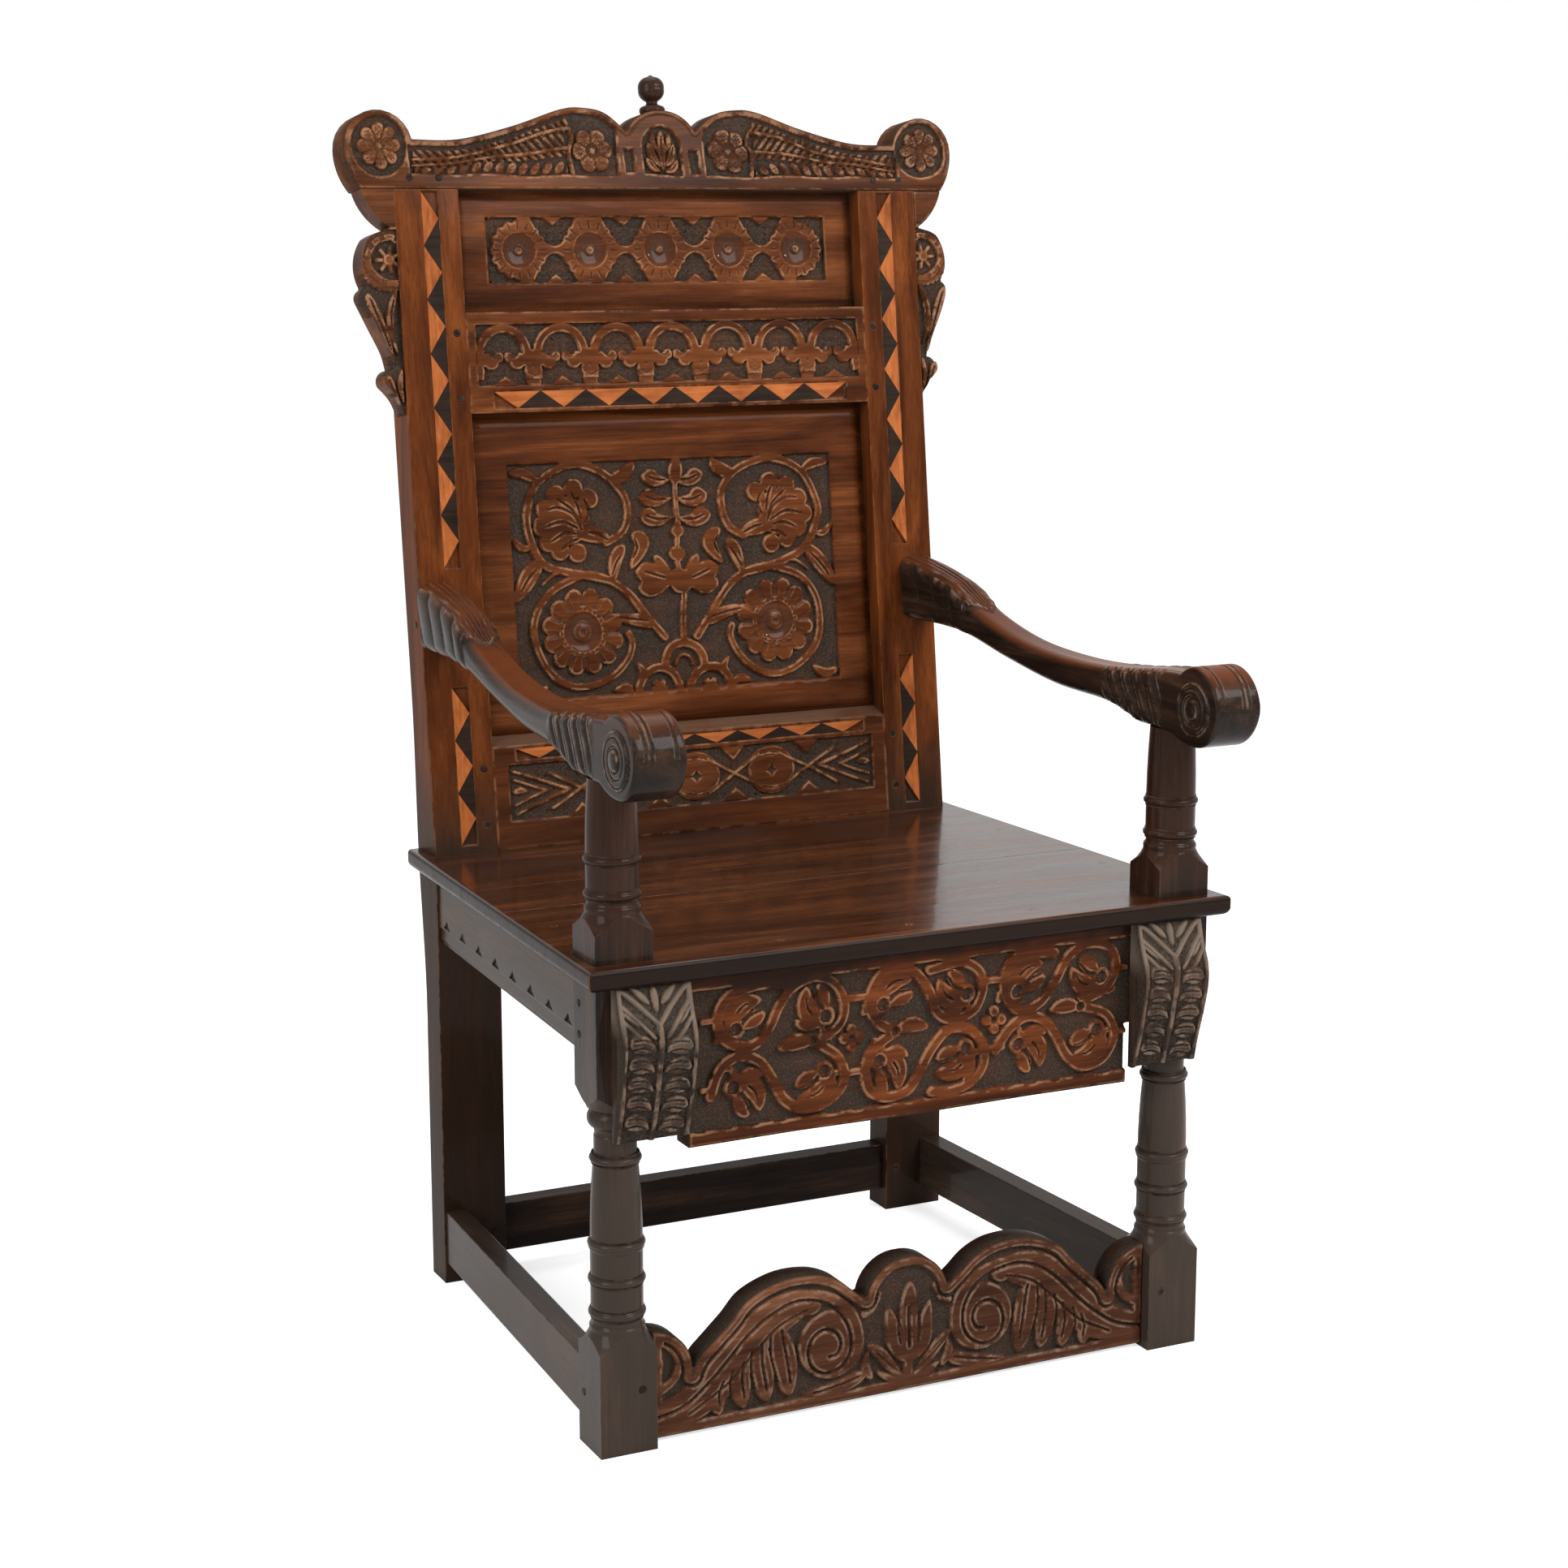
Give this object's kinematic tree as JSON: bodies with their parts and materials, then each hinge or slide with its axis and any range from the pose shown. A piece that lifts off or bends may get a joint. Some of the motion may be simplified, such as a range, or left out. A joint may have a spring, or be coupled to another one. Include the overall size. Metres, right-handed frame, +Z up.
{
  "type": "wainscot chair",
  "caption": "Carved oak wainscot armchair: raked panelled back with crest, ears and inlay, board seat, scrolled arms, turned legs and low stretchers.",
  "frame": {"origin": "middle of the footprint of the whole chair, on the floor", "axes": "the front of the chair faces -Y, its right-hand nodes as seen from the front are on +X, +Z is up"},
  "size_m": [0.668, 0.6716, 1.2077],
  "materials": {
    "oak_frame": "old oak, dark brown, waxed and worn on the edges",
    "oak_carved": "carved old oak, reddish brown on the worn tops, nearly black in the grounds, waxed",
    "oak_seat": "old oak boards, polished by use",
    "oak_pegs": "dark end grain of riven oak pegs",
    "inlay_light": "light orange-brown fruitwood, flush and waxed",
    "inlay_dark": "bog oak, flush and waxed"
  },
  "bodies": {
    "root": {"arm_left": "oak_carved", "arm_pegs": "oak_pegs", "arm_right": "oak_carved", "back_pegs": "oak_pegs", "back_post_left": "oak_frame", "back_post_right": "oak_frame", "back_seat_rail": "oak_frame", "corbel_left": "oak_carved", "corbel_right": "oak_carved", "crest_finial": "oak_carved", "crest_rail": "oak_carved", "ear_bracket_left": "oak_carved", "ear_bracket_right": "oak_carved", "front_leg_left": "oak_frame", "front_leg_right": "oak_frame", "front_seat_rail": "oak_carved", "front_stretcher": "oak_carved", "inlay_dark_lower_rail": "inlay_dark", "inlay_dark_middle_rail": "inlay_dark", "inlay_dark_stile_left": "inlay_dark", "inlay_dark_stile_right": "inlay_dark", "inlay_light_lower_rail": "inlay_light", "inlay_light_middle_rail": "inlay_light", "inlay_light_stile_left": "inlay_light", "inlay_light_stile_right": "inlay_light", "lower_rail": "oak_carved", "main_panel": "oak_carved", "middle_rail": "oak_carved", "rear_stretcher": "oak_frame", "seat_board_back": "oak_seat", "seat_board_front": "oak_seat", "seat_board_pegs": "oak_pegs", "seat_frame_pegs": "oak_pegs", "side_seat_rail_left": "oak_frame", "side_seat_rail_right": "oak_frame", "side_stretcher_left": "oak_frame", "side_stretcher_right": "oak_frame", "stretcher_pegs": "oak_pegs", "upper_panel": "oak_carved"}
  },
  "joints": []
}
